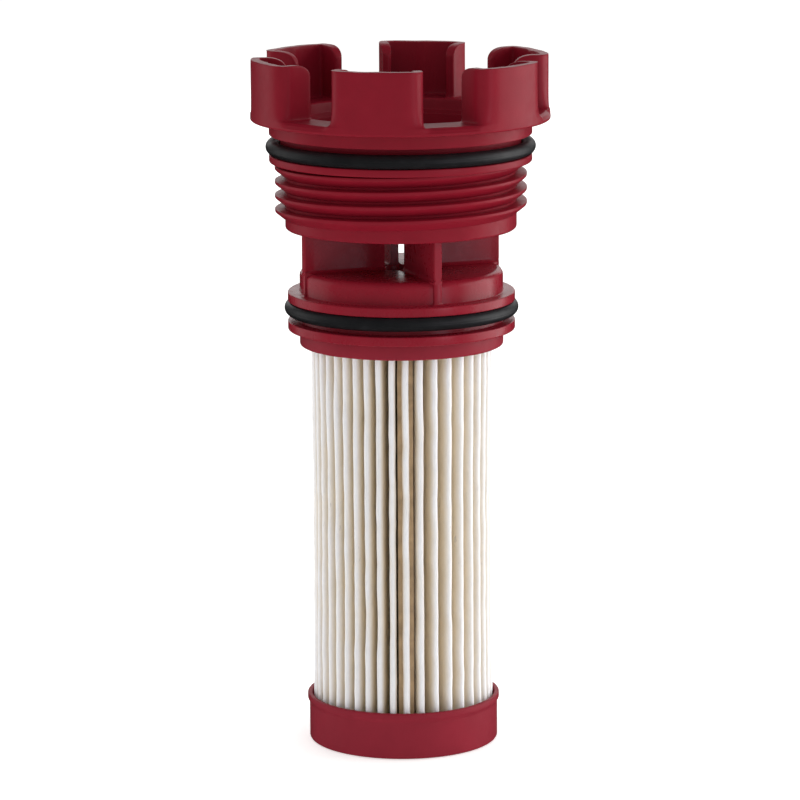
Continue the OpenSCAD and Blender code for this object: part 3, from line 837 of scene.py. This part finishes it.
class FUELFILTER_OT_paper(bpy.types.Operator):
    """Model the pleated paper: one folded sheet with rounded outer folds, unevenly spaced and wavy"""
    bl_idname = "fuelfilter.paper"
    bl_label = "Pleated paper"

    def execute(self, context):
        size = sizes()
        pleats, tip, fold = int(size["pleats"]), PAPER_HIGH.x / MM, size["fold_r"]
        low, high = PAPER_LOW.z / MM, PAPER_HIGH.z / MM
        put_down()
        bpy.ops.mesh.primitive_circle_add(
            vertices=pleats * SIDES, radius=tip, location=(0, 0, 0), fill_type="NOTHING")
        piece = open_new("pleated_paper_sheet")
        move(z=low)
        # Each run of twelve vertices becomes one pleat, from inner fold to outer fold and back
        step = 360 / (pleats * SIDES)

        def from_tip(point):
            k = round(angle_of(point) / step) % SIDES
            return min(k, SIDES - k)

        bend = (tip - 0.04, tip - 0.2, tip - 0.75, tip - 4.6, fold + 0.9, fold)
        for off, r in enumerate(bend, start=1):
            pick("VERT", lambda v: from_tip(v.co) == off)
            grow(r / tip)
        # The pleats are crowded here and spread there, and lean a little to one side
        work = bmesh.from_edit_mesh(piece.data)
        angles = {v.index: angle_of(v.co) for v in work.verts}
        reach = {v.index: radius_of(v.co) for v in work.verts}
        half_pleat = 180 / pleats

        def within(vertex, angle, play):
            return abs((angles[vertex.index] - angle + 180) % 360 - 180) < play

        for n in range(pleats):
            centre = n * 360 / pleats
            from_front = (centre - FRONT + 180) % 360 - 180
            pick("VERT", lambda v: within(v, centre, half_pleat - 0.1 * step))
            swing(pleat_drift(from_front))
            pick("VERT", lambda v: within(v, centre + half_pleat, 0.1 * step))
            swing(pleat_drift(from_front + half_pleat))
            for lean_from in (fold + 3, tip - 2):
                pick("VERT", lambda v: within(v, centre, half_pleat - 0.1 * step)
                     and reach[v.index] > lean_from)
                swing(1.0)
        bpy.ops.mesh.select_all(action="SELECT")
        draw_out(z=high - low)
        pick("EDGE", lambda e: abs(e.verts[0].co.z - e.verts[1].co.z) > 1)
        bpy.ops.mesh.subdivide(number_cuts=PAPER_ROWS - 1)
        # A slight waist at mid-height
        for k in range(1, PAPER_ROWS):
            up = k / PAPER_ROWS
            pick("VERT", lambda v: near(v.co.z, low + (high - low) * up, 0.1))
            grow(1 - 0.014 * math.sin(math.pi * up))
        tidy_mesh()
        put_down()
        ripple = bpy.data.textures.new("sheet_ripple", "CLOUDS")
        ripple.noise_scale = 7.0
        ripple.noise_depth = 1
        apply_modifier(piece, "DISPLACE", texture=ripple, texture_coords="LOCAL", direction="RGB_TO_XYZ",
                       strength=0.6, mid_level=0.5)
        bpy.data.textures.remove(ripple)
        apply_modifier(piece, "SOLIDIFY", thickness=size["paper_t"], offset=-1)
        hand_over(piece, finish_named("pleated_filter_paper"), ["pleated_media"], smooth=60)
        return {"FINISHED"}


class FUELFILTER_OT_adhesive(bpy.types.Operator):
    """Model the adhesive side seam, and finish the hidden adhesive in both end caps and the core tube"""
    bl_idname = "fuelfilter.adhesive"
    bl_label = "Adhesive and core"

    def execute(self, context):
        low, high, tip = PAPER_LOW.z / MM, PAPER_HIGH.z / MM, PAPER_HIGH.x / MM
        parts = []
        for side, wide in ((-1, 0.5), (1, 0.6)):
            put_down()
            bpy.ops.mesh.primitive_cube_add(size=1, location=(0, 0, 0))
            piece = open_new("seam_adhesive")
            bpy.ops.transform.resize(value=(5.0, 2 * wide, high - low - 0.2), center_override=(0, 0, 0))
            move(x=tip - 4.6, z=(low + high) / 2)
            pick("EDGE", lambda e: abs(e.verts[0].co.z - e.verts[1].co.z) > 1)
            bpy.ops.mesh.subdivide(number_cuts=PAPER_ROWS)
            bpy.ops.mesh.select_all(action="SELECT")
            swing(FRONT + SEAM_AT + side * SEAM_GAP)
            tidy_mesh()
            parts.append(piece)
        join(*parts)
        ripple = bpy.data.textures.new("seam_ripple", "CLOUDS")
        ripple.noise_scale = 5.0
        apply_modifier(parts[0], "DISPLACE", texture=ripple, texture_coords="LOCAL",
                       strength=0.25, mid_level=0.5)
        bpy.data.textures.remove(ripple)
        hand_over(parts[0], finish_named("cured_adhesive"), ["media_seam"])
        hidden = (("top_potting", "cured_adhesive", "adhesive"),
                  ("bottom_potting", "cured_adhesive", "adhesive"),
                  ("core_tube", "core_moulded_nylon", "core_nylon"))
        for node, name, slot in hidden:
            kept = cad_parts[node]
            kept.data.materials.clear()
            kept.data.materials.append(finish_named(name))
        return {"FINISHED"}


# ---------------------------------------------------------------- the stage

LIGHTS_AIM = (0, 0, 0.09)
# Name, angle from the camera, distance from the axis, height, width, length and power
SOFTBOXES = (
    ("right_softbox", 100, 0.6, 0.16, 0.55, 0.6, 3.2),
    ("left_softbox", -110, 0.6, 0.16, 0.45, 0.6, 0.75),
    ("back_softbox", 180, 1.1, 0.5, 1.2, 0.8, 3.4),
)
LILAC_STRIP = ("front_strip", 44, 0.9, 0.03, 0.24, 0.7, 1.9)
CAMERA_AT, CAMERA_AIM = (-0.3053, -0.8253, 0.2435), (-0.00045, 0.0, 0.0740)
CAMERA_ROLL = -0.3


def softbox(name, angle, reach, height, width, tall, power):
    """A soft rectangular light, placed by its angle from the camera."""
    put_down()
    a = math.radians(FRONT + angle)
    bpy.ops.object.light_add(type="AREA", location=(reach * math.cos(a), reach * math.sin(a), height))
    lamp = bpy.context.object
    lamp.name = name
    lamp.data.shape = "RECTANGLE"
    lamp.data.size, lamp.data.size_y = width, tall
    lamp.data.energy = power
    lamp.visible_camera = False
    lamp.rotation_euler = (Vector(LIGHTS_AIM) - lamp.location).to_track_quat("-Z", "Y").to_euler()
    return lamp


class FUELFILTER_OT_stage(bpy.types.Operator):
    """Set up the pale floor, the soft studio lights and the camera"""
    bl_idname = "fuelfilter.stage"
    bl_label = "Stage"

    def execute(self, context):
        put_down()
        bpy.ops.mesh.primitive_plane_add(size=12, location=(0, 0, CAD_BOX[0].z - 0.0001))
        floor = context.object
        floor.name = "studio_floor"
        material, tree, shader, place = new_finish("matt_studio_paper")
        grain = add(tree, "ShaderNodeTexNoise", {"Scale": per_mm(1.5), "Detail": 2.0},
                    {"Vector": (place, "Object")})
        tone = tuple(colours().floor)
        tint = ramp(tree, grain, "Fac", ((0.3, shade(tone, 0.985)), (0.7, tone)))
        tree.links.new(tint.outputs["Color"], shader.inputs["Base Color"])
        shader.inputs["Roughness"].default_value = 0.95
        shader.inputs["Specular IOR Level"].default_value = 0.1
        # The floor glows a little, as backlit paper does, so that it stays pale under the filter
        shader.inputs["Emission Color"].default_value = (1, 1, 1, 1)
        shader.inputs["Emission Strength"].default_value = 0.5
        floor.data.materials.append(material)
        # Neither the floor nor the world shows in the gloss, only the softboxes do
        floor.visible_glossy = False
        world = bpy.data.worlds.new("studio")
        world.use_nodes = True
        back = world.node_tree.nodes["Background"]
        back.inputs["Color"].default_value = (1, 1, 1, 1)
        back.inputs["Strength"].default_value = 0.64
        world.cycles_visibility.glossy = False
        context.scene.world = world
        for values in SOFTBOXES:
            softbox(*values)
        # The strip only gives the cage's flat vanes their lilac sheen
        strip = softbox(*LILAC_STRIP)
        strip.visible_diffuse = False
        strip.data.color = (0.92, 0.86, 1.0)
        context.scene.view_settings.view_transform = "Standard"
        bpy.ops.object.camera_add(location=CAMERA_AT)
        camera = context.object
        camera.name = "studio_camera"
        camera.data.lens = 188.4
        camera.data.sensor_width = 36
        camera.data.clip_start = 0.05
        sight = (Vector(CAMERA_AIM) - camera.location).to_track_quat("-Z", "Y")
        camera.rotation_euler = sight.to_euler()
        camera.rotation_euler.rotate_axis("Z", math.radians(CAMERA_ROLL))
        context.scene.camera = camera
        return {"FINISHED"}


class FUELFILTER_PT_panel(bpy.types.Panel):
    """Sizes, colours and steps of the fuel filter"""
    bl_label = "Fuel filter"
    bl_idname = "FUELFILTER_PT_panel"
    bl_space_type = "VIEW_3D"
    bl_region_type = "UI"
    bl_category = "Fuel filter"

    def draw(self, context):
        layout = self.layout
        for group in (context.scene.filter_sizes, context.scene.filter_colours):
            box = layout.box()
            for key in type(group).__annotations__:
                box.prop(group, key)
        for step in STEPS:
            layout.operator(step.bl_idname)


STEPS = (FUELFILTER_OT_stage, FUELFILTER_OT_cap, FUELFILTER_OT_o_rings, FUELFILTER_OT_cage,
         FUELFILTER_OT_end_caps, FUELFILTER_OT_paper, FUELFILTER_OT_adhesive)
CLASSES = (FilterSizes, FilterColours, *STEPS, FUELFILTER_PT_panel)


def register():
    for cls in CLASSES:
        bpy.utils.register_class(cls)
    bpy.types.Scene.filter_sizes = bpy.props.PointerProperty(type=FilterSizes)
    bpy.types.Scene.filter_colours = bpy.props.PointerProperty(type=FilterColours)


def unregister():
    del bpy.types.Scene.filter_sizes
    del bpy.types.Scene.filter_colours
    for cls in reversed(CLASSES):
        bpy.utils.unregister_class(cls)


def main():
    register()
    bpy.ops.fuelfilter.stage()
    bpy.ops.fuelfilter.cap()
    bpy.ops.fuelfilter.o_rings()
    bpy.ops.fuelfilter.cage()
    bpy.ops.fuelfilter.end_caps()
    bpy.ops.fuelfilter.paper()
    bpy.ops.fuelfilter.adhesive()
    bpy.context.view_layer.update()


if __name__ == "__main__":
    main()
